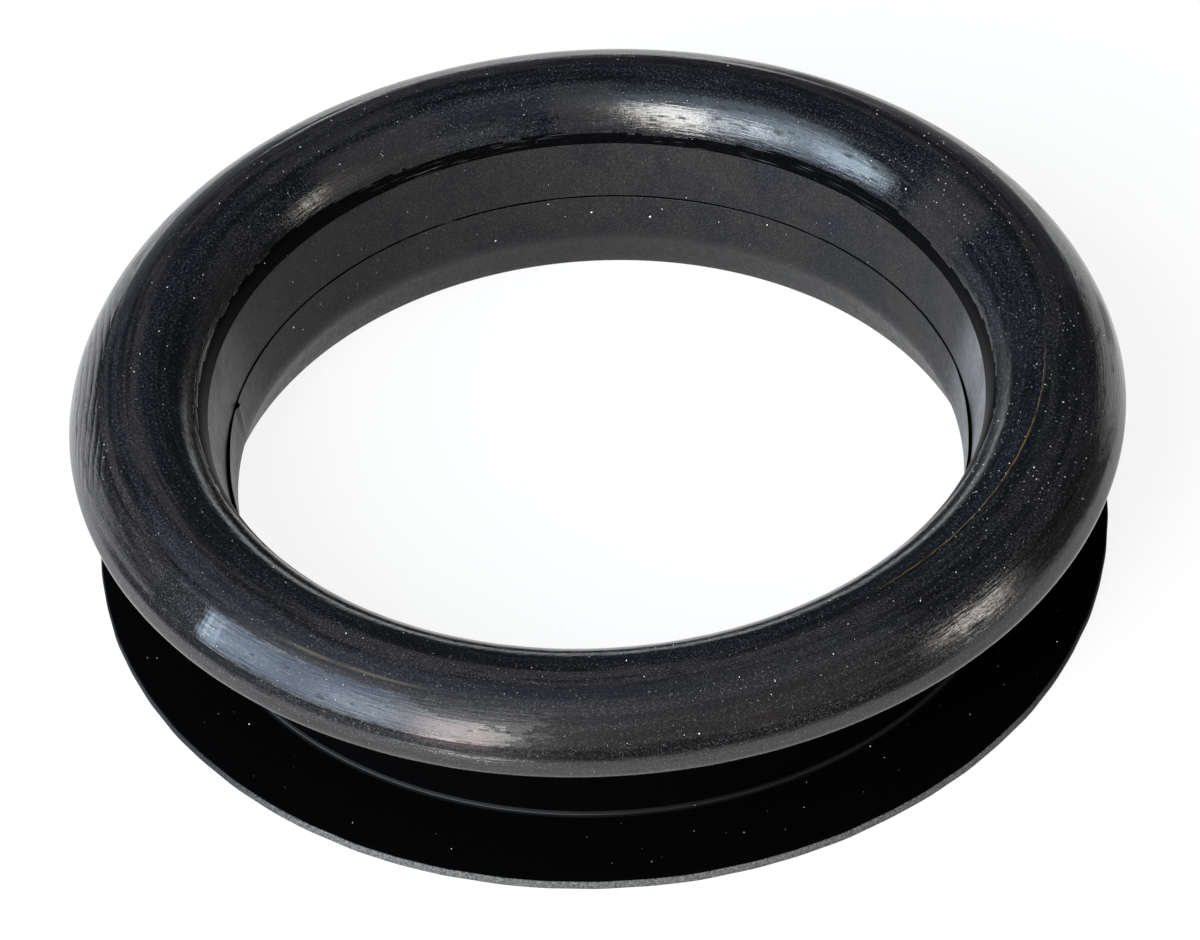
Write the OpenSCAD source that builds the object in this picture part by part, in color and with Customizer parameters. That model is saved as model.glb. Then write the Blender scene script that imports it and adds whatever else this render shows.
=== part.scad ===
// Rubber grommet: a ring moulded in one piece, with a thick round collar on top,
// a panel groove below it and a thin flat flange at the foot.
// Millimetres, +Z up. The origin is on the ring's axis, in the plane it stands on.

/* [Bore] */
// Diameter of the narrow cylindrical land, which the pipe or cable bundle passes
bore_d = 71.5; // [40:0.5:120]
// Height of the land's lower edge above the foot
land_base = 6; // [4:0.1:7]
// Length of the land, up to the parting slot
land_h = 4.4; // [3:0.1:5]
// How far the bore opens, each side, from the land down to the foot
foot_flare = 2.35; // [0.5:0.05:3.5]
// How far the bore opens, each side, from the land up to the collar's mouth
mouth_flare = 1.95; // [1.2:0.05:3]
// Rounding of the bore's lower edge
foot_round = 0.8; // [0.4:0.1:1.2]

/* [Parting slot] */
// Width of the slot, from the upper wall inwards
slot_w = 0.4; // [0.3:0.05:0.6]
// Depth of the slot below the land's upper edge
slot_depth = 0.6; // [0.3:0.05:1]
// Thickness of the thin lip between the slot and the bore
lip_t = 0.3; // [0.2:0.05:0.5]

/* [Panel groove] */
// Wall of the ring between the land and the groove's floor
neck_wall = 5.75; // [4.5:0.25:10]
// Width of the groove, which takes the panel
groove_w = 14.65; // [12:0.05:30]
// Fillet where the collar meets the groove's floor
collar_root_r = 0.8; // [0.3:0.1:1.5]

/* [Collar] */
// How far the collar stands out past the groove's floor
collar_reach = 9.5; // [8.5:0.1:14]
// Height of the collar, from its underside to the top
collar_h = 6.65; // [6:0.05:7.5]
// Radius of the inner shoulder, which leads into the mouth
inner_r = 5.85; // [5:0.05:6]
// Radius of the tight outermost edge
edge_r = 1; // [0.6:0.1:1.4]

/* [Flange] */
// How far the flange stands out past the groove's floor
flange_reach = 8.5; // [4:0.1:12]
// Thickness of the flange
flange_t = 0.9; // [0.7:0.1:2]
// Fillet where the flange meets the groove's floor
flange_root_r = 0.5; // [0.3:0.1:1]

/* [Hidden] */

rubber_color = "#1c1d20";
ring_steps = 96;
arc_steps = 48;
small_arc_steps = 20;

// Main levels and radii
land_r = bore_d / 2;
parting_z = land_base + land_h;
foot_r = land_r + foot_flare;
mouth_r = land_r + mouth_flare;
upper_r = land_r + lip_t + slot_w;
groove_r = land_r + neck_wall;
flange_r = groove_r + flange_reach;
collar_r = groove_r + collar_reach;
collar_base = flange_t + groove_w;
height = collar_base + collar_h;

// Collar: the broad shoulder starts at the top, level with the inner shoulder, and its
// radius is the one that runs smoothly into the tight outer edge
inner_x = mouth_r + inner_r;
inner_z = height - inner_r;
edge_x = collar_r - edge_r;
edge_z = collar_base + edge_r;
span = edge_x - inner_x;
drop = height - edge_z;
broad_r = (span * span + drop * drop - edge_r * edge_r) / (2 * (drop - edge_r));
broad_z = height - broad_r;
far = 4 * broad_r;

// Upper wall: the line from the parting slot that touches the inner shoulder
reach_x = inner_x - upper_r;
reach_z = inner_z - parting_z;
upper_lean = acos(inner_r / norm([reach_x, reach_z])) - atan2(reach_z, reach_x);
touch = [inner_x - inner_r * cos(upper_lean), inner_z + inner_r * sin(upper_lean)];

// Lower wall: a flare from the land to the foot, rounded at the bottom
lower_lean = atan2(foot_flare, land_base);
round_x = foot_r + foot_round * (1 / cos(lower_lean) - tan(lower_lean));
round_start = [round_x - foot_round * cos(lower_lean), foot_round * (1 - sin(lower_lean))];

// A fillet of radius r for an inside corner at the origin, open towards +X and +Y
module fillet(r) {
    difference() {
        square(r);
        translate([r, r]) circle(r, $fn = small_arc_steps);
    }
}

// Inner shoulder, from the upper wall to the top
module inner_shoulder() {
    intersection() {
        translate([inner_x, inner_z]) circle(inner_r, $fn = arc_steps);
        polygon([[inner_x, inner_z], touch, [touch[0] - inner_r, height], [inner_x, height + inner_r]]);
    }
}

// Broad shoulder, from the top to where the tight outer edge takes over
module broad_shoulder() {
    slope = (edge_z - broad_z) / span;
    intersection() {
        translate([inner_x, broad_z]) circle(broad_r, $fn = 2 * arc_steps);
        polygon([[inner_x, broad_z], [inner_x + far, broad_z + far * slope], [inner_x, broad_z + far]]);
        translate([inner_x, collar_base]) square(far);
    }
}

// Tight outermost edge
module outer_edge() {
    translate([edge_x, edge_z]) circle(edge_r, $fn = small_arc_steps);
}

// What lies between the rounds: the collar's middle, the neck, the flange and the bore's wall
module core() {
    polygon([
        [inner_x, inner_z], touch, [upper_r, parting_z], [land_r, parting_z], [land_r, land_base],
        round_start, [round_x, foot_round], [round_x, 0], [flange_r, 0], [flange_r, flange_t],
        [groove_r, flange_t], [groove_r, collar_base], [edge_x, collar_base], [edge_x, edge_z]
    ]);
    translate([round_x, foot_round]) circle(foot_round, $fn = small_arc_steps);
    translate([groove_r, flange_t]) fillet(flange_root_r);
    translate([groove_r, collar_base]) mirror([0, 1]) fillet(collar_root_r);
}

// Parting slot, open at the top between the thin lip and the upper wall
module parting_slot() {
    translate([land_r + lip_t, parting_z - slot_depth]) square([slot_w, slot_depth + lip_t]);
}

// The section that turns round the axis
module section() {
    difference() {
        union() {
            inner_shoulder();
            broad_shoulder();
            outer_edge();
            core();
        }
        parting_slot();
    }
}

module grommet() {
    color(rubber_color) rotate_extrude($fn = ring_steps) section();
}

grommet();
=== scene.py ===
"""Looks of the rubber grommet: one moulded ring with its finish, dust and soft studio light."""

import math
import random
from types import SimpleNamespace

import bpy
import numpy as np
from mathutils import Matrix, Vector


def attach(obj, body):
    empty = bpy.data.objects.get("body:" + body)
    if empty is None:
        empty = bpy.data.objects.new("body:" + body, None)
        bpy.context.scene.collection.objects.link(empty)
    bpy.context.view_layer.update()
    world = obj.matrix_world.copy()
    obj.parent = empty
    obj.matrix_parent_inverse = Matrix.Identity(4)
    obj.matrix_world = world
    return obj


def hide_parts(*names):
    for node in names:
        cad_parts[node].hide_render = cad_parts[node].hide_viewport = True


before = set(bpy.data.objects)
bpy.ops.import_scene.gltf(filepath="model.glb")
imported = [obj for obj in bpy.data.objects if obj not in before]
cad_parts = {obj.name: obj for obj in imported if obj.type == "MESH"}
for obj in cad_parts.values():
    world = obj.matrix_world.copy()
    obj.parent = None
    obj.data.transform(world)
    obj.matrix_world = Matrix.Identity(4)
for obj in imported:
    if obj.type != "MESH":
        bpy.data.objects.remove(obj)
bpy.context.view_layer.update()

MM = 0.001
SEED = 7

# Section of the ring, in millimetres: the same lengths as the solid
BORE_R = 35.75
LAND_BASE, PARTING_Z = 6.0, 10.4
FOOT_R, MOUTH_R = 38.1, 37.7
FOOT_ROUND = 0.8
LIP_T, SLOT_W, SLOT_DEPTH = 0.3, 0.4, 0.6
GROOVE_R, FLANGE_R, COLLAR_R = 41.5, 50.0, 51.0
COLLAR_BASE, HEIGHT = 15.55, 22.2
INNER_R, EDGE_R = 5.85, 1.0
FLANGE_T = 0.9
COLLAR_ROOT_R, FLANGE_ROOT_R = 0.8, 0.5
RIM_SOFTENING = 0.16
LIP_EDGE = 0.02
SLOT_IN = BORE_R + LIP_T

# Distance across where the bore's wall ends, and where the glossy shoulder starts by angle; in between,
# the shoulder's start is painted shade
WALL_END = -1.25
GLOSS_STARTS = (
    (0, 1.6), (15, 0.6), (22, 0.35), (38, 0.85), (48, 0.65), (60, 0.45), (70, 0.05), (80, -0.1),
    (92, 0.2), (105, 0.3), (130, 0.55), (140, 0.9), (170, 1.0),
    (190, 1.9), (205, 2.6), (225, 2.9), (330, 2.9), (345, 2.6), (360, 1.6),
)
# Worn and dulled places, and the dark line under the front highlight (the second entry), whose dark worn
# colour is painted shade: angle from, to, softness, across from, to, softness, strength
WEAR_AND_SHADE_PATCHES = (
    (213, 221.5, 0.8, 12.6, 15.9, 0.15, 1.0), (203, 305, 4, 15.72, 16.75, 0.1, 1.0),
    (256, 301, 8, 12.4, 15.8, 0.3, 1.0), (206, 300, 6, 9.9, 12.6, 0.25, 0.8),
    (223, 262, 1.5, 12.6, 15.8, 0.2, 0.42), (247, 264, 3, 12.4, 13.9, 0.25, 0.85),
    (318, 344, 4, 13.3, 16.2, 0.3, 0.9), (358, 366, 1.5, 14.4, 15.9, 0.2, 0.8),
    (6, 64, 4, 10.2, 11.8, 0.12, 1.0), (128, 174, 4, 10.2, 11.8, 0.12, 1.0),
    (20, 32, 2, -1.0, 7.4, 0.5, 0.75), (84, 94, 2, 0.4, 5.4, 0.4, 0.6),
    (112, 133, 2, -0.5, 5.1, 0.4, 0.75), (116, 142, 3, 5.9, 7.5, 0.3, 0.5),
    (150, 164, 4, 0.9, 4.9, 0.6, 0.4),
)
# The gloss left at each level of wear, as an index of refraction
WEAR_IOR = (1.5, 1.41, 1.31, 1.21, 1.12)

# Dust: number of specks, angle from, to, across from, to
DUST_FIELDS = (
    (430, -45, 40, 3.0, 14.5), (150, 0, 180, 1.5, 10.0), (170, 180, 360, 5.5, 15.5),
    (50, 190, 352, 42.4, 49.2), (60, 30, 150, -14.0, 1.0),
)

# Order of the ring's finishes. Worn rubber follows DARK, one finish for each level of wear.
# SHADE and DARK are near-black painted shade; ROOT carries a painted highlight line
RUBBER, SHADE, RIM, ROOT, WALL, DARK = range(6)

# Steps of the turned mesh round the axis
STEPS_ROUND = 640

# Where the slot's lip is nicked, in degrees
NICK_AT = 169.0

# Camera: found from the outline of the ring in the photograph
CAMERA_DISTANCE = 0.4
CAMERA_ELEVATION = 0.76142
CAMERA_ROLL = -0.05723
CAMERA_TARGET = Vector((-0.000046, 0.0, 0.005308))
CAMERA_LENS, CAMERA_SENSOR = 120.41, 36.0
CAMERA_NEAR, CAMERA_FAR = 0.01, 20.0

# Stage: the floor's radius, the backdrop's height, the share of plain white near the ring, and
# the faint light from all round
FLOOR_R, BACKDROP_H = 4.0, 0.2
WHITE_NEAR = 0.88
WORLD_GREY = (0.05, 0.052, 0.058, 1)

# Lamps: name, azimuth, elevation, distance, width, height, radiance, colour
BLUE, COOL, CREAM, WARM = (0.68, 0.84, 1.0), (0.95, 0.98, 1.0), (1.0, 0.96, 0.88), (1.0, 0.93, 0.84)
LAMPS = (
    ("ceiling", 265, 70, 0.7, 0.9, 0.62, 0.36, BLUE),
    ("window_left", 212, 30, 0.6, 0.68, 0.54, 5.6, BLUE),
    ("window_high", 222, 62, 0.62, 0.6, 0.24, 2.2, BLUE),
    ("far_strip", 84, 3.2, 3.4, 4.4, 0.34, 2.0, COOL),
    ("far_left", 138, 3.2, 3.4, 2.8, 0.34, 1.6, COOL),
    ("far_right", 36, 3.2, 3.4, 1.8, 0.34, 0.7, (1.0, 0.95, 0.9)),
    ("window_core", 244, 28, 0.6, 0.17, 0.52, 20.0, CREAM),
    ("window_edge", 191, 25, 0.6, 0.19, 0.26, 8.0, BLUE),
    ("window_spot", 221, 28, 0.5, 0.13, 0.11, 18.0, (0.86, 0.93, 1.0)),
    ("lamp_right", 344, 20, 0.7, 0.2, 0.12, 16.0, WARM),
    ("front_right", 303, 18, 0.7, 0.36, 0.3, 0.8, (0.9, 0.95, 1.0)),
)


# ---------------------------------------------------------------- section


def arc(cx, cz, r, a0, a1, n):
    """Points of an arc from angle a0 to a1, in degrees, both ends included."""
    angles = np.radians(np.linspace(a0, a1, n))
    return [(cx + r * math.cos(a), cz + r * math.sin(a)) for a in angles]


def line(p, q, n):
    """Points from p towards q, the last one left out."""
    return [(p[0] + (q[0] - p[0]) * i / n, p[1] + (q[1] - p[1]) * i / n) for i in range(n)]


def collar_terms():
    """Centres and tangent points of the collar's rounds."""
    inner = (MOUTH_R + INNER_R, HEIGHT - INNER_R)
    edge = (COLLAR_R - EDGE_R, COLLAR_BASE + EDGE_R)
    span, drop = edge[0] - inner[0], HEIGHT - edge[1]
    broad_r = (span * span + drop * drop - EDGE_R * EDGE_R) / (2 * (drop - EDGE_R))
    broad = (inner[0], HEIGHT - broad_r)
    upper_r = BORE_R + LIP_T + SLOT_W
    reach = (inner[0] - upper_r, inner[1] - PARTING_Z)
    lean = math.acos(INNER_R / math.hypot(*reach)) - math.atan2(reach[1], reach[0])
    return inner, edge, broad, broad_r, upper_r, lean


def bore_line(touch, upper_r, round_x, foot_lean):
    """The bore, from the foot's rounding up to where the collar's shoulder starts."""
    points = arc(round_x, FOOT_ROUND, FOOT_ROUND, 270, 180 + math.degrees(foot_lean), 6)
    points = points[:-1] + line(points[-1], (BORE_R, LAND_BASE), 4)
    points += line((BORE_R, LAND_BASE), (SLOT_IN, PARTING_Z), 5)
    # A point close below the lip's edge keeps the shading there sharp
    points += [(SLOT_IN - LIP_EDGE * LIP_T, PARTING_Z - LIP_EDGE * (PARTING_Z - LAND_BASE))]
    points += [(SLOT_IN, PARTING_Z), (SLOT_IN, PARTING_Z - SLOT_DEPTH)]
    points += [(upper_r, PARTING_Z - SLOT_DEPTH), (upper_r, PARTING_Z - 0.05)]
    return points + line((upper_r + 0.01, PARTING_Z + 0.1), touch, 14)


def collar_line(inner, edge, broad, broad_r, lean):
    """The collar's three rounds: inner shoulder, broad top and outer edge."""
    broad_end = math.degrees(math.atan2(edge[1] - broad[1], edge[0] - broad[0]))
    points = arc(inner[0], inner[1], INNER_R, 180 - math.degrees(lean), 90, 36)[:-1]
    points += arc(broad[0], broad[1], broad_r, 90, broad_end, 46)[:-1]
    return points + arc(edge[0], edge[1], EDGE_R, broad_end, -90, 10)[:-1]


def groove_line(edge):
    """The groove, from the collar's underside to the flange's upper face."""
    points = line((edge[0], COLLAR_BASE), (GROOVE_R + COLLAR_ROOT_R, COLLAR_BASE), 3)
    points += arc(GROOVE_R + COLLAR_ROOT_R, COLLAR_BASE - COLLAR_ROOT_R, COLLAR_ROOT_R, 90, 180, 4)
    points += line((GROOVE_R, COLLAR_BASE - 1), (GROOVE_R, FLANGE_T + FLANGE_ROOT_R), 3)
    points += arc(GROOVE_R + FLANGE_ROOT_R, FLANGE_T + FLANGE_ROOT_R, FLANGE_ROOT_R, 180, 270, 6)
    return points + line((GROOVE_R + 1, FLANGE_T), (FLANGE_R - RIM_SOFTENING, FLANGE_T), 5)


def section():
    """The closed section, as a list of (radius, height, across, zone).

    Across is the distance along the surface from where the collar's inner shoulder starts.
    Zones: 0 bore, 1 collar, 2 groove and flange, 3 flange rim, 4 foot.
    """
    inner, edge, broad, broad_r, upper_r, lean = collar_terms()
    touch = (inner[0] - INNER_R * math.cos(lean), inner[1] + INNER_R * math.sin(lean))
    foot_lean = math.atan2(FOOT_R - BORE_R, LAND_BASE)
    round_x = FOOT_R + FOOT_ROUND * (1 / math.cos(foot_lean) - math.tan(foot_lean))
    bore = bore_line(touch, upper_r, round_x, foot_lean)
    collar = collar_line(inner, edge, broad, broad_r, lean)
    s = RIM_SOFTENING
    rim = arc(FLANGE_R - s, FLANGE_T - s, s, 90, 0, 4) + arc(FLANGE_R - s, s, s, 0, -90, 4)
    foot = line((FLANGE_R - s - 0.5, 0), (round_x + 0.3, 0), 3)
    points = []
    for zone, part in enumerate((bore, collar, groove_line(edge), rim, foot)):
        points += [(r, z, zone) for r, z in part]
    lengths = [0.0]
    for a, b in zip(points, points[1:]):
        lengths.append(lengths[-1] + math.hypot(b[0] - a[0], b[1] - a[1]))
    start = lengths[len(bore)]
    return [(r, z, length - start, zone) for (r, z, zone), length in zip(points, lengths)]


# ---------------------------------------------------------------- ring mesh


def wave(theta, rng, terms):
    """A smooth closed wave round the ring, about -1 to 1."""
    total = np.zeros_like(theta)
    for k, weight in terms:
        total += weight * np.sin(k * theta + rng.uniform(0, 2 * math.pi))
    return total


def bump_at(theta, across, at, width, depth, size):
    """A soft dent or swelling at a place on the ring: angle in degrees and distance across."""
    turn = (np.degrees(theta) - at[0] + 180) % 360 - 180
    return size * np.exp(-((turn / width) ** 2) - ((across - at[1]) / depth) ** 2)


def ring_offsets(theta, across, zone):
    """How far each point of the surface lies off the true section, in millimetres."""
    rng = random.Random(SEED)
    collar = (zone == 1) * 1.0
    off = 0.012 * wave(theta, rng, [(3, 0.5), (7, 0.3), (11, 0.2)]) * collar
    for across_k, size in ((0.9, 0.010), (1.7, 0.006)):
        turn = wave(theta, rng, [(9, 0.5), (17, 0.4), (29, 0.3)])
        off += size * turn * np.sin(across * across_k + 2 * turn) * collar
    off += bump_at(theta, across, (4, 2.3), 19, 0.9, 0.10) * collar
    off += bump_at(theta, across, (172, 2.3), 9, 0.9, 0.09) * collar
    off += bump_at(theta, across, (65, 10.57), 9, 0.22, -0.05) * collar
    off += bump_at(theta, across, (128, 10.52), 9, 0.22, -0.06) * collar
    off -= 0.02 * np.exp(-(((across - 7.7) / 0.12) ** 2)) * collar
    front = np.exp(-((((np.degrees(theta) - 255 + 180) % 360 - 180) / 62) ** 4))
    off -= 0.045 * front * np.exp(-(((across - 16.2) / 0.3) ** 2)) * collar
    return off


def lip_shift(theta, rng):
    """How far the slot's thin lip leans out: nearly shut at the back, open at the sides."""
    degrees = np.degrees(theta)
    shut = 0.29 + 0.03 * wave(theta, rng, [(5, 0.4), (13, 0.3), (31, 0.3)])
    for at, reach in ((188.0, 15.0), (352.0, 16.0)):
        turn = (degrees - at + 180) % 360 - 180
        shut -= 0.24 * np.exp(-((turn / reach) ** 4))
    turn = (degrees - NICK_AT + 180) % 360 - 180
    return shut - 0.45 * np.exp(-((turn / 0.45) ** 2))


def ragged(degrees, across, size, rng):
    """A field about -size to size that is drawn out round the ring, for streaky edges."""
    field = np.zeros((len(degrees), len(across)))
    for turns, over, weight in ((9, 1.1, 0.4), (31, 2.9, 0.35), (77, 5.3, 0.3), (140, 8.1, 0.25)):
        lean = (rng.uniform(0, 6.28) + across * over)[None]
        field += weight * np.sin(np.radians(degrees)[:, None] * turns + 3.0 * np.sin(lean) + lean)
    return field * size


def surface_slots(slots, degrees, across):
    """The material of each face: the bore's wall, the shoulder's start in painted shade, and worn places.
    """
    rng = random.Random(SEED + 2)
    streaky = ragged(degrees, across, 1.0, rng)
    gloss = np.interp(degrees, *zip(*GLOSS_STARTS))[:, None]
    # Below the gloss line the shoulder's start takes DARK: near-black painted shade
    slots = np.where(across[None] + 0.1 * streaky < gloss, DARK, slots)
    slots = np.where(across[None] < WALL_END, WALL, slots)
    wear = 0.85 * np.clip(streaky + 0.4 * ragged(degrees, across * 3, 1.0, rng) - 0.38, 0, 1)
    wear *= (across > 0.2) & (across < 4) | (across > 12.4) & (across < 15.8)
    # Wear patches, and the dark line under the front highlight, painted as shade
    for start, end, soft, low, high, soft_over, strength in WEAR_AND_SHADE_PATCHES:
        turn = (degrees[:, None] - start + 90) % 360 - 90
        inside = np.minimum(turn, end - start - turn) / (2 * soft)
        over = np.minimum(across[None] - low, high - across[None]) / (2 * soft_over)
        here = np.clip(0.5 + np.minimum(inside, over) + 0.22 * streaky, 0, 1)
        wear = np.maximum(wear, strength * here)
    level = np.clip(np.round(wear * (len(WEAR_IOR) - 1)), 0, len(WEAR_IOR) - 1)
    return np.where((slots == RUBBER) & (level > 0), DARK + level, slots)


def ring_points(theta, r, z, across, zone):
    """The ring's points in metres: the section turned round, with its small departures."""
    dr, dz = np.roll(r, -1) - np.roll(r, 1), np.roll(z, -1) - np.roll(z, 1)
    length = np.hypot(dr, dz)
    nr, nz = -dz / length, dr / length
    angle = np.repeat(theta[:, None], len(r), 1)
    off = ring_offsets(angle, across[None], zone[None])
    radius, height = r[None] + off * nr[None], z[None] + off * nz[None]
    rng = random.Random(SEED + 1)
    land = (zone == 0) & (z > LAND_BASE - 0.01) & (r < SLOT_IN + 0.01)
    lip = np.where(land, np.clip((r - BORE_R) / LIP_T, 0, 1), 0)
    radius = radius + lip_shift(theta, rng)[:, None] * lip[None]
    rim = wave(theta, rng, [(9, 0.4), (23, 0.3), (41, 0.3), (67, 0.3)])
    radius = radius - 0.05 * (1 + rim[:, None]) * (zone == 3)[None]
    return np.stack([radius * np.cos(angle), radius * np.sin(angle), height], -1) * MM


def ring_slots(theta, r, z, across, zone):
    """The finish of each face of the ring."""
    between_rims = (zone == 3) & (np.roll(zone, -1) == 3)
    slots = np.where(zone == 2, SHADE, np.where(between_rims, RIM, RUBBER))
    root = (zone == 2) & (r < GROOVE_R + FLANGE_ROOT_R - 0.02) & (z < FLANGE_T + FLANGE_ROOT_R)
    slots = np.where(root, ROOT, slots)
    slots = surface_slots(np.repeat(slots[None], STEPS_ROUND, 0), np.degrees(theta), across)
    # The slot's inside takes DARK: near-black painted shade in the deep slit
    in_slot = (zone == 0) & (r > SLOT_IN - 0.001) & (np.abs(z - PARTING_Z) < SLOT_DEPTH + 0.01)
    slots[:, in_slot & (z < PARTING_Z + 0.01)] = DARK
    return slots


def ring_mesh():
    """The ring as a mesh. Its points carry their distance across, for the materials."""
    r, z, across, zone = (np.array(column, dtype=float) for column in zip(*section()))
    theta = np.linspace(0, 2 * math.pi, STEPS_ROUND, endpoint=False)
    points = ring_points(theta, r, z, across, zone)
    i, j = np.arange(STEPS_ROUND)[:, None], np.arange(len(r))[None]
    here, after, nj = i * len(r), (i + 1) % STEPS_ROUND * len(r), (j + 1) % len(r)
    quads = np.stack([here + nj, after + nj, after + j, here + j], -1)
    mesh = bpy.data.meshes.new("grommet_ring")
    mesh.from_pydata(points.reshape(-1, 3).tolist(), [], quads.reshape(-1, 4).tolist())
    layer = mesh.attributes.new("across", "FLOAT", "POINT")
    layer.data.foreach_set("value", np.repeat(across[None], STEPS_ROUND, 0).ravel())
    slots = ring_slots(theta, r, z, across, zone)
    mesh.polygons.foreach_set("material_index", slots.ravel().astype(int))
    mesh.polygons.foreach_set("use_smooth", [True] * len(mesh.polygons))
    mesh.update()
    return mesh


# ---------------------------------------------------------------- materials


class Nodes:
    """A short way to build a material's nodes."""

    def __init__(self, name):
        self.material = bpy.data.materials.new(name)
        self.material.use_nodes = True
        self.tree = self.material.node_tree
        self.shader = self.tree.nodes["Principled BSDF"]

    def new(self, kind, inputs=(), **settings):
        """A node of a kind, with its inputs linked or set."""
        node = self.tree.nodes.new(kind)
        for key, value in settings.items():
            setattr(node, key, value)
        for key, value in dict(inputs).items():
            self.put(node.inputs[key], value)
        return node

    def put(self, socket, value):
        """Link a socket to another one, or set its value."""
        if isinstance(value, bpy.types.NodeSocket):
            self.tree.links.new(value, socket)
        else:
            socket.default_value = value

    def math(self, operation, a, b=0.0):
        """One sum of two values."""
        node = self.new("ShaderNodeMath", operation=operation)
        for socket, value in zip(node.inputs, (a, b)):
            self.put(socket, value)
        return node.outputs[0]

    def range(self, value, lo, hi, to_lo=0.0, to_hi=1.0):
        """A smooth step from to_lo at lo to to_hi at hi."""
        limits = {"Value": value, "From Min": lo, "From Max": hi, "To Min": to_lo, "To Max": to_hi}
        return self.new("ShaderNodeMapRange", limits, interpolation_type="SMOOTHSTEP").outputs[0]

    def relief(self, height, distance):
        """Bump the surface by a height from 0 to 1, times a distance in metres."""
        bump = self.new("ShaderNodeBump", {"Height": height, "Strength": 1.0, "Distance": distance})
        self.put(self.shader.inputs["Normal"], bump.outputs[0])

    def band(self, value, lo, hi, soft):
        """1 between lo and hi, with soft ends."""
        rise = self.range(value, lo - soft, lo + soft)
        fall = self.range(value, hi - soft, hi + soft, 1.0, 0.0)
        return self.math("MULTIPLY", rise, fall)

    def band_past_zero(self, angle, lo, hi, soft):
        """1 from the angle lo through 360 to the angle hi, with soft ends."""
        before, after = self.band(angle, lo, 361.0, soft), self.band(angle, -1.0, hi, soft)
        return self.math("ADD", before, after)

    def mix(self, factor, a, b):
        """Colour a at factor 0 and colour b at factor 1."""
        node = self.new("ShaderNodeMix", data_type="RGBA")
        for socket, value in zip((node.inputs[0], node.inputs[6], node.inputs[7]), (factor, a, b)):
            self.put(socket, value)
        return node.outputs[2]

    def noise(self, vector, scale, detail=3.0, rough=0.55, distortion=0.0):
        """Noise, about 0 to 1 with its middle at 0.5."""
        inputs = {"Vector": vector, "Scale": scale, "Detail": detail, "Roughness": rough}
        return self.new("ShaderNodeTexNoise", {**inputs, "Distortion": distortion}).outputs[0]

    def vector(self, x, y, z):
        """A vector from its three parts."""
        return self.new("ShaderNodeCombineXYZ", {"X": x, "Y": y, "Z": z}).outputs[0]

    def coords(self):
        """Object coordinates, in metres."""
        return self.new("ShaderNodeTexCoord").outputs["Object"]

    def place(self):
        """Position round the ring: unit X and Y, angle in degrees 0 to 360, radius, height and
        distance across, the last three in millimetres."""
        x, y, z = self.new("ShaderNodeSeparateXYZ", {"Vector": self.coords()}).outputs
        squares = self.math("ADD", self.math("MULTIPLY", x, x), self.math("MULTIPLY", y, y))
        radius = self.math("SQRT", squares)
        angle = self.math("MULTIPLY", self.math("ARCTAN2", y, x), 180 / math.pi)
        angle = self.math("FLOORED_MODULO", angle, 360.0)
        ux, uy = self.math("DIVIDE", x, radius), self.math("DIVIDE", y, radius)
        radius, height = self.math("MULTIPLY", radius, 1 / MM), self.math("MULTIPLY", z, 1 / MM)
        across = self.new("ShaderNodeAttribute", attribute_name="across").outputs["Fac"]
        return ux, uy, angle, radius, height, across


def streak_height(n, ux, uy, across, around, over, detail=3.0):
    """Noise drawn out round the ring: around and over are its scales along and across."""
    x, y = n.math("MULTIPLY", ux, around), n.math("MULTIPLY", uy, around)
    return n.noise(n.vector(x, y, n.math("MULTIPLY", across, over)), 1.0, detail)


def rubber_fields(n):
    """The places and noises that the rubber's colour, roughness and relief share."""
    ux, uy, angle, _, _, across = n.place()
    coords = n.coords()
    return SimpleNamespace(
        angle=angle,
        across=across,
        grain=n.noise(coords, 6000.0, 3.0, 0.7),
        dots=n.noise(coords, 5200.0, 1.0, 0.5),
        cloud=n.noise(coords, 110.0, 4.0, 0.6, 0.6),
        blot=n.noise(coords, 260.0, 3.0, 0.55, 0.4),
        mottle=n.noise(coords, 900.0, 4.0, 0.65),
        streaks=streak_height(n, ux, uy, across, 11.0, 4.2, 4.0),
        fine=streak_height(n, ux, uy, across, 30.0, 9.0, 2.0),
        drift=streak_height(n, ux, uy, across, 2.6, 1.25, 4.0),
    )


def rubber_bands(n, f):
    """Navy on the inner side and brown-black outside, with blotches and dark streaks."""
    wander = n.math("MULTIPLY", n.math("SUBTRACT", f.cloud, 0.5), 1.2)
    outer = n.range(n.math("ADD", f.across, wander), 7.9, 8.5)
    navy_band = n.math("MULTIPLY", n.band(f.across, 9.9, 11.3, 0.35), n.band(f.angle, 150.0, 262.0, 14.0))
    outer = n.math("MULTIPLY", outer, n.math("SUBTRACT", 1.0, n.math("MULTIPLY", navy_band, 0.8)))
    right = n.band_past_zero(f.angle, 304.0, 9.0, 7.0)
    outer = n.math("MULTIPLY", outer, n.math("SUBTRACT", 1.0, n.math("MULTIPLY", right, 0.62)))
    colour = n.mix(outer, (0.0017, 0.0029, 0.0047, 1), (0.0132, 0.0110, 0.0113, 1))
    blotch = n.math("MULTIPLY", n.range(f.blot, 0.48, 0.62), 0.5)
    colour = n.mix(blotch, colour, (0.0036, 0.0046, 0.0064, 1))
    dark = n.math("MULTIPLY", n.range(f.drift, 0.56, 0.40), 0.8)
    colour = n.mix(dark, colour, (0.0006, 0.0010, 0.0017, 1))
    return n.mix(n.range(f.streaks, 0.50, 0.30, 0.0, 0.6), colour, (0.0004, 0.0006, 0.0010, 1))


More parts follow.
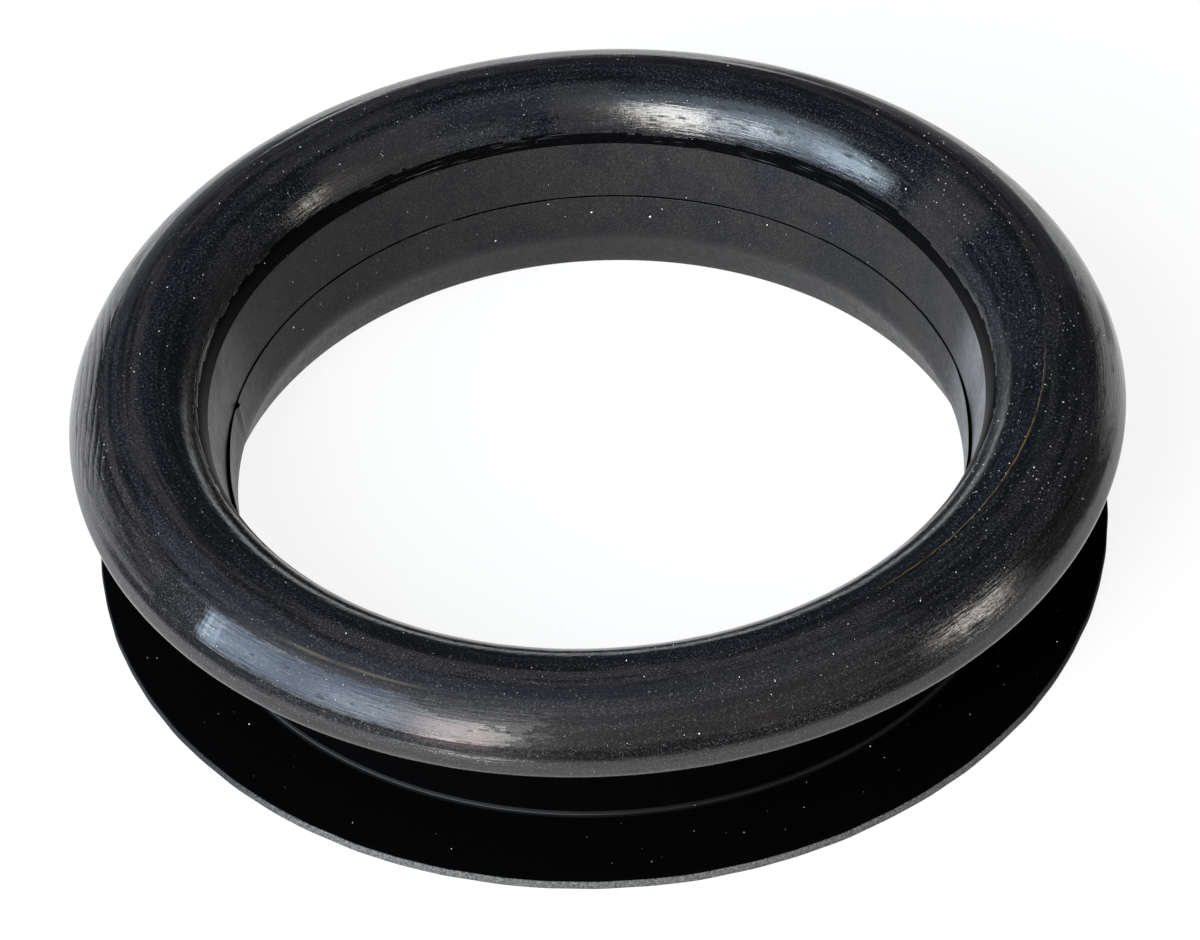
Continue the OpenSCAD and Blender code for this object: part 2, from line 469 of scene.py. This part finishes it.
def rubber_colour(n, f, worn):
    """The bands with wear (whose dark colour under the front highlight is painted shade), painted sheen
    at the front, a light outer edge, speckle, dots and the rust-brown line.
    """
    # Worn colour; under the front highlight its dark colour is painted shade
    colour = n.mix(0.85 * worn, rubber_bands(n, f), worn_and_shade_colour(n, f.angle, f.across))
    # Painted sheen: blue, pink and yellowish tints where the front highlights fall
    colour = front_painted_sheen(n, colour, f.angle, f.across, f.streaks)
    edge = n.math("MULTIPLY", n.range(f.across, 16.5, 16.9), n.range(f.streaks, 0.3, 0.6, 0.3, 0.9))
    colour = n.mix(edge, colour, (0.015, 0.013, 0.0127, 1))
    drifted = n.range(f.drift, 0.38, 0.60, 0.4, 1.0)
    speckle = n.math("MULTIPLY", n.range(f.grain, 0.48, 0.68, 0.0, 0.95), drifted)
    colour = n.mix(speckle, colour, (0.034, 0.032, 0.033, 1))
    dots = n.math("MULTIPLY", n.range(f.dots, 0.68, 0.80), 0.8)
    colour = n.mix(dots, colour, (0.11, 0.105, 0.10, 1))
    rust = n.math("MULTIPLY", n.band(f.across, 7.55, 7.72, 0.05), n.band(f.angle, 306.0, 354.0, 6.0))
    rust = n.math("MULTIPLY", rust, n.range(f.fine, 0.35, 0.6))
    return n.mix(rust, colour, (0.075, 0.050, 0.026, 1))


def rubber_roughness(n, f, worn):
    """Rougher along streaks, in blotches and on the top, and with wear."""
    rough = n.range(f.streaks, 0.32, 0.68, 0.05, 0.12)
    rough = n.math("ADD", rough, n.range(f.blot, 0.4, 0.7, 0.0, 0.05))
    rough = n.math("ADD", rough, n.math("MULTIPLY", n.band(f.across, 8.5, 11.0, 0.6), 0.05))
    return n.math("ADD", rough, 0.2 * worn)


def rubber_relief(n, f):
    """Streaks, strongest on the shoulder and the outer edge, with grain, mottle and folds."""
    shoulder = n.math("ADD", n.band(f.across, -0.7, 3.6, 0.8), n.band(f.across, 12.5, 16.7, 0.8))
    drawn = n.math("ADD", f.streaks, n.math("MULTIPLY", f.fine, 0.5))
    relief = n.math("MULTIPLY", drawn, n.math("ADD", 0.35, n.math("MULTIPLY", shoulder, 1.1)))
    relief = n.math("ADD", relief, n.math("MULTIPLY", f.grain, 0.2))
    relief = n.math("ADD", relief, n.math("MULTIPLY", f.mottle, 0.8))
    return n.math("ADD", relief, n.math("MULTIPLY", rim_folds(n, f.angle, f.across, f.cloud), 0.5))


def rubber_material(level=0):
    """Black rubber at a level of wear: glossy at level 0, dull at the last one."""
    n = Nodes("black_rubber_%d" % level)
    worn = level / (len(WEAR_IOR) - 1)
    f = rubber_fields(n)
    n.put(n.shader.inputs["Base Color"], rubber_colour(n, f, worn))
    n.put(n.shader.inputs["Roughness"], rubber_roughness(n, f, worn))
    n.relief(rubber_relief(n, f), 0.000028)
    n.shader.inputs["IOR"].default_value = WEAR_IOR[level]
    return n.material


def front_painted_sheen(n, colour, angle, across, streaks):
    """Faint blue, pink and yellowish tints on the outer side at the front: painted sheen, with a painted
    pink highlight, where the front highlights fall.
    """
    sheen_tints = (
        (223, 247, 2.0, 12.7, 15.5, 0.2, 0.35, (0.010, 0.019, 0.042, 1)),
        (249, 257, 2.0, 14.0, 16.2, 0.3, 0.7, (0.060, 0.034, 0.038, 1)),
        (231, 249, 3.0, 11.55, 11.8, 0.1, 0.7, (0.055, 0.046, 0.031, 1)),
    )
    for start, end, soft, low, high, soft_over, strength, sheen_colour in sheen_tints:
        here = n.math("MULTIPLY", n.band(angle, start, end, soft), n.band(across, low, high, soft_over))
        here = n.math("MULTIPLY", here, n.range(streaks, 0.3, 0.6, 0.3 * strength, strength))
        colour = n.mix(here, colour, sheen_colour)
    return colour


def worn_and_shade_colour(n, angle, across):
    """The colour of worn rubber: brown-grey at the front and on the inner side, dark elsewhere; under the
    front highlight that dark colour is painted shade.
    """
    front = n.math("MULTIPLY", n.band(angle, 224.0, 300.0, 5.0), n.range(across, 15.7, 15.4))
    colour = n.mix(front, (0.0022, 0.0022, 0.0024, 1), (0.0098, 0.0084, 0.0086, 1))
    colour = n.mix(n.range(across, 11.9, 11.8), colour, (0.0085, 0.0088, 0.0104, 1))
    return n.mix(n.range(across, 8.0, 7.8), colour, (0.0190, 0.0165, 0.0170, 1))


def wall_material():
    """The bore's wall: a neutral, matte moulded face with faint bluish blotches, and painted shade
    towards the bottom.
    """
    n = Nodes("bore_wall")
    ux, uy, angle, _, height, _ = n.place()
    coords = n.coords()
    grain = n.noise(coords, 7000.0, 3.0, 0.65)
    cloud = n.noise(coords, 180.0, 4.0, 0.6, 0.5)
    streaks = streak_height(n, ux, uy, height, 60.0, 1.2, 4.0)
    # Painted shade: the wall darker towards the bottom, near the shadowed floor
    low = n.range(height, 3.5, 5.5, 1.0, 0.0)
    colour = n.mix(n.range(cloud, 0.42, 0.6), (0.0110, 0.0097, 0.0094, 1), (0.0064, 0.0062, 0.0082, 1))
    colour = n.mix(n.math("MULTIPLY", low, 0.75), colour, (0.0062, 0.0060, 0.0065, 1))
    colour = n.mix(n.range(grain, 0.48, 0.7, 0.0, 0.5), colour, (0.058, 0.055, 0.054, 1))
    colour = n.mix(n.range(grain, 0.52, 0.3, 0.0, 0.7), colour, (0.004, 0.004, 0.004, 1))
    right = n.band_past_zero(angle, 338.0, 8.0, 7.0)
    ends = n.math("ADD", n.band(angle, 164.0, 200.0, 9.0), right)
    ends = n.math("MULTIPLY", ends, n.range(cloud, 0.3, 0.7, 0.3, 0.8))
    colour = n.mix(ends, colour, (0.13, 0.13, 0.135, 1))
    n.put(n.shader.inputs["Base Color"], colour)
    n.put(n.shader.inputs["Roughness"], n.range(streaks, 0.35, 0.65, 0.36, 0.46))
    n.relief(n.math("ADD", n.math("MULTIPLY", grain, 0.5), n.math("MULTIPLY", streaks, 0.8)), 0.000012)
    n.shader.inputs["Specular IOR Level"].default_value = 0.15
    return n.material


def undercut_material():
    """The dark line just above the wall, where the shoulder starts: near-black painted shade of the
    undercut, with painted glint streaks at the back.
    """
    n = Nodes("shoulder_start")
    ux, uy, angle, _, _, across = n.place()
    grain = n.noise(n.coords(), 6500.0, 2.0, 0.6)
    streaks = streak_height(n, ux, uy, across, 7.0, 6.5, 3.0)
    speckle = n.range(grain, 0.5, 0.75, 0.0, 0.6)
    # Near-black painted shade of the undercut, with faint speckle
    colour = n.mix(speckle, (0.0010, 0.0010, 0.0012, 1), (0.008, 0.008, 0.008, 1))
    # Painted glints: thin light streaks along the band at the back
    painted_glint = n.math("MULTIPLY", n.range(streaks, 0.60, 0.70, 0.0, 0.5), n.band(angle, 40.0, 125.0, 12.0))
    colour = n.mix(painted_glint, colour, (0.09, 0.09, 0.092, 1))
    n.put(n.shader.inputs["Base Color"], colour)
    n.shader.inputs["Roughness"].default_value = 0.35
    n.shader.inputs["IOR"].default_value = 1.05
    return n.material


def rim_folds(n, angle, across, cloud):
    """Fine folds that run along the left edge and curve away from it."""
    turn = n.math("ABSOLUTE", n.math("SUBTRACT", angle, 179.0))
    bend = n.math("MULTIPLY", n.math("POWER", turn, 2.0), 0.012)
    wobble = n.math("MULTIPLY", cloud, 1.6)
    phase = n.math("SUBTRACT", n.math("ADD", across, wobble), bend)
    phase = n.math("MULTIPLY", phase, 2 * math.pi / 0.95)
    ripple = n.math("POWER", n.math("MULTIPLY", n.math("ADD", n.math("SINE", phase), 1.0), 0.5), 0.4)
    here = n.math("MULTIPLY", n.band(angle, 166.0, 196.0, 4.0), n.band(across, 12.3, 16.3, 0.5))
    return n.math("MULTIPLY", n.math("MULTIPLY", ripple, here), 2.6)


def shade_material():
    """The groove and the flange's upper face: dull, near-black painted shade with faint dust."""
    n = Nodes("shaded_rubber")
    coords = n.coords()
    grain = n.noise(coords, 6000.0, 2.0, 0.6)
    cloud = n.noise(coords, 90.0, 3.0, 0.6)
    dusty = n.math("MULTIPLY", n.range(cloud, 0.6, 0.8), n.range(grain, 0.5, 0.7))
    # Near-black painted shade, flecked with faint dust
    colour = n.mix(dusty, (0.0003, 0.0003, 0.0004, 1), (0.0030, 0.0026, 0.0022, 1))
    n.put(n.shader.inputs["Base Color"], colour)
    n.shader.inputs["Roughness"].default_value = 0.85
    n.shader.inputs["Specular IOR Level"].default_value = 0.015
    return n.material


def rim_material():
    """The flange's trimmed edge: light grey and grainy at the front, dark at both sides."""
    n = Nodes("trimmed_edge")
    _, _, angle, _, _, _ = n.place()
    grain = n.noise(n.coords(), 5000.0, 3.0, 0.7)
    colour = n.mix(n.range(grain, 0.35, 0.65), (0.022, 0.022, 0.022, 1), (0.10, 0.097, 0.093, 1))
    right = n.band_past_zero(angle, 322.0, 20.0, 8.0)
    colour = n.mix(n.math("MULTIPLY", right, 0.9), colour, (0.0020, 0.0020, 0.0022, 1))
    left = n.band(angle, 170.0, 228.0, 12.0)
    colour = n.mix(n.math("MULTIPLY", left, 0.9), colour, (0.0030, 0.0030, 0.0034, 1))
    n.put(n.shader.inputs["Base Color"], colour)
    n.shader.inputs["Roughness"].default_value = 0.7
    n.shader.inputs["Specular IOR Level"].default_value = 0.12
    return n.material


def root_material():
    """The fillet at the flange's root: near-black painted shade with a thin painted highlight line along
    it.
    """
    n = Nodes("flange_root")
    ux, uy, angle, radius, height, _ = n.place()
    broken = streak_height(n, ux, uy, height, 25.0, 3.0, 4.0)
    # A painted highlight: a thin light line along the fillet, on near-black painted shade
    painted_glint = n.math("MULTIPLY", n.band(radius, 41.695, 41.715, 0.018), n.range(broken, 0.30, 0.5, 0.5, 1.0))
    left = n.band(angle, 205.0, 268.0, 6.0)
    right = n.math("MULTIPLY", n.band(angle, 272.0, 325.0, 8.0), 0.35)
    painted_glint = n.math("MULTIPLY", painted_glint, n.math("ADD", left, right))
    colour = n.mix(painted_glint, (0.0010, 0.0010, 0.0012, 1), (0.075, 0.080, 0.090, 1))
    n.put(n.shader.inputs["Base Color"], colour)
    n.shader.inputs["Roughness"].default_value = 0.6
    n.shader.inputs["Specular IOR Level"].default_value = 0.1
    return n.material


def dust_material():
    """Pale, matte dust."""
    n = Nodes("dust")
    n.shader.inputs["Base Color"].default_value = (0.72, 0.70, 0.67, 1)
    n.shader.inputs["Roughness"].default_value = 0.9
    return n.material


# ---------------------------------------------------------------- dust


def surface_point(sec, angle, across):
    """Point and outward normal of the collar at an angle in degrees and a distance across."""
    pts = [p for p in sec if p[3] in (0, 1, 2)]
    for a, b in zip(pts, pts[1:]):
        if a[2] <= across <= b[2]:
            t = (across - a[2]) / max(b[2] - a[2], 1e-9)
            r, z = a[0] + (b[0] - a[0]) * t, a[1] + (b[1] - a[1]) * t
            dr, dz = b[0] - a[0], b[1] - a[1]
            k = math.hypot(dr, dz)
            c, s = math.cos(math.radians(angle)), math.sin(math.radians(angle))
            return Vector((r * c, r * s, z)), Vector((-dz / k * c, -dz / k * s, dr / k))
    raise ValueError(across)


def speck(verts, faces, centre, normal, size, rng):
    """A tiny flat-bottomed crumb."""
    side = normal.orthogonal().normalized()
    other = normal.cross(side)
    base = len(verts)
    stretch, turn = rng.uniform(0.5, 1.6), rng.uniform(0, math.pi)
    for i in range(5):
        a = turn + i * 2 * math.pi / 5
        k = size * rng.uniform(0.6, 1.2)
        corner = side * (k * math.cos(a) * stretch) + other * (k * math.sin(a))
        verts.append(centre + corner - normal * size * 0.3)
    verts.append(centre + normal * size * rng.uniform(0.3, 0.8))
    for i in range(5):
        faces.append((base + i, base + (i + 1) % 5, base + 5))
    faces.append(tuple(base + 4 - i for i in range(5)))


def dust_mesh(sec):
    """Specks of dust, densest on the right side."""
    rng = random.Random(SEED + 2)
    verts, faces = [], []
    for count, a0, a1, s0, s1 in DUST_FIELDS:
        for _ in range(count):
            point, normal = surface_point(sec, rng.uniform(a0, a1), rng.uniform(s0, s1))
            speck(verts, faces, point, normal, 0.035 + 0.06 * rng.random() ** 3, rng)
    mesh = bpy.data.meshes.new("dust_specks")
    mesh.from_pydata([tuple(v * MM) for v in verts], [], faces)
    return mesh


# ---------------------------------------------------------------- stage


def add(name, mesh, *materials):
    """An object of a mesh, with its materials, in the scene."""
    obj = bpy.data.objects.new(name, mesh)
    bpy.context.scene.collection.objects.link(obj)
    for material in materials:
        mesh.materials.append(material)
    return obj


def toward(azimuth, elevation):
    """Unit direction from the ring: azimuth in degrees from +X towards +Y."""
    a, e = math.radians(azimuth), math.radians(elevation)
    return Vector((math.cos(a) * math.cos(e), math.sin(a) * math.cos(e), math.sin(e)))


def softbox(name, azimuth, elevation, distance, width, height, radiance, colour):
    """A lamp of the given size and brightness, turned to the ring."""
    data = bpy.data.lights.new(name, "AREA")
    data.shape = "RECTANGLE"
    data.size, data.size_y = width, height
    data.energy = radiance * math.pi * width * height
    data.color = colour
    obj = bpy.data.objects.new(name, data)
    bpy.context.scene.collection.objects.link(obj)
    direction = toward(azimuth, elevation)
    obj.location = direction * distance
    obj.rotation_mode = "QUATERNION"
    obj.rotation_quaternion = (-direction).to_track_quat("-Z", "Y")
    obj.visible_camera = False
    return obj


def white_material(name):
    """White that takes the ring's shadow near it and stays plain white farther off."""
    n = Nodes(name)
    n.shader.inputs["Base Color"].default_value = (0.9, 0.9, 0.9, 1)
    n.shader.inputs["Roughness"].default_value = 0.9
    n.shader.inputs["Specular IOR Level"].default_value = 0.0
    _, _, _, radius, _, _ = n.place()
    share = n.range(radius, 120.0, 500.0, WHITE_NEAR, 1.0)
    path = n.new("ShaderNodeLightPath")
    seen = n.math("MAXIMUM", path.outputs["Is Camera Ray"], path.outputs["Is Glossy Ray"])
    seen = n.math("MAXIMUM", seen, path.outputs["Is Transmission Ray"])
    plain = n.new("ShaderNodeEmission", {"Color": (1, 1, 1, 1), "Strength": 1.0})
    both = n.new("ShaderNodeMixShader")
    n.put(both.inputs[0], n.math("MULTIPLY", seen, share))
    n.put(both.inputs[1], n.shader.outputs[0])
    n.put(both.inputs[2], plain.outputs[0])
    n.put(n.tree.nodes["Material Output"].inputs["Surface"], both.outputs[0])
    return n.material


def make_stage():
    """A plain white floor, and a low white backdrop round it."""
    bpy.ops.mesh.primitive_circle_add(vertices=128, radius=FLOOR_R, fill_type="NGON")
    floor = bpy.context.object
    bpy.ops.mesh.primitive_cylinder_add(
        vertices=128, radius=FLOOR_R, depth=BACKDROP_H, end_fill_type="NOTHING",
        location=(0, 0, BACKDROP_H / 2),
    )
    backdrop = bpy.context.object
    for obj, name in ((floor, "floor"), (backdrop, "backdrop")):
        obj.name = name
        obj.data.materials.append(white_material(name + "_white"))


def make_world():
    """Faint grey light from all round."""
    world = bpy.data.worlds.new("studio")
    bpy.context.scene.world = world
    world.use_nodes = True
    background = world.node_tree.nodes["Background"]
    background.inputs["Color"].default_value = WORLD_GREY
    background.inputs["Strength"].default_value = 1.0


def make_lights():
    """The lamps whose reflections the ring shows."""
    for lamp in LAMPS:
        softbox(*lamp)


def make_camera():
    """The photograph's view of the ring."""
    e, roll = CAMERA_ELEVATION, CAMERA_ROLL
    place = Vector((0, -math.cos(e), math.sin(e))) * CAMERA_DISTANCE
    z = (place - CAMERA_TARGET).normalized()
    x = Vector((0, 0, 1)).cross(z).normalized()
    y = z.cross(x)
    cx = x * math.cos(roll) + y * math.sin(roll)
    cy = y * math.cos(roll) - x * math.sin(roll)
    camera = bpy.data.objects.new("camera", bpy.data.cameras.new("camera"))
    camera.data.lens = CAMERA_LENS
    camera.data.sensor_width = CAMERA_SENSOR
    camera.data.clip_start, camera.data.clip_end = CAMERA_NEAR, CAMERA_FAR
    bpy.context.scene.collection.objects.link(camera)
    rows = [(cx[i], cy[i], z[i], place[i]) for i in range(3)] + [(0, 0, 0, 1)]
    camera.matrix_world = Matrix(rows)
    bpy.context.scene.camera = camera


def main():
    """The ring and its dust, then the stage, the lights and the camera."""
    bpy.context.scene.view_settings.view_transform = "Standard"
    finishes = [rubber_material(), shade_material(), rim_material(), root_material()]
    finishes += [wall_material(), undercut_material()]
    finishes += [rubber_material(level) for level in range(1, len(WEAR_IOR))]
    ring = add("grommet_ring", ring_mesh(), *finishes)
    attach(ring, "root")
    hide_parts("grommet")
    dust = add("dust_specks", dust_mesh(section()), dust_material())
    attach(dust, "root")
    make_stage()
    make_world()
    make_lights()
    make_camera()
    bpy.context.view_layer.update()


main()
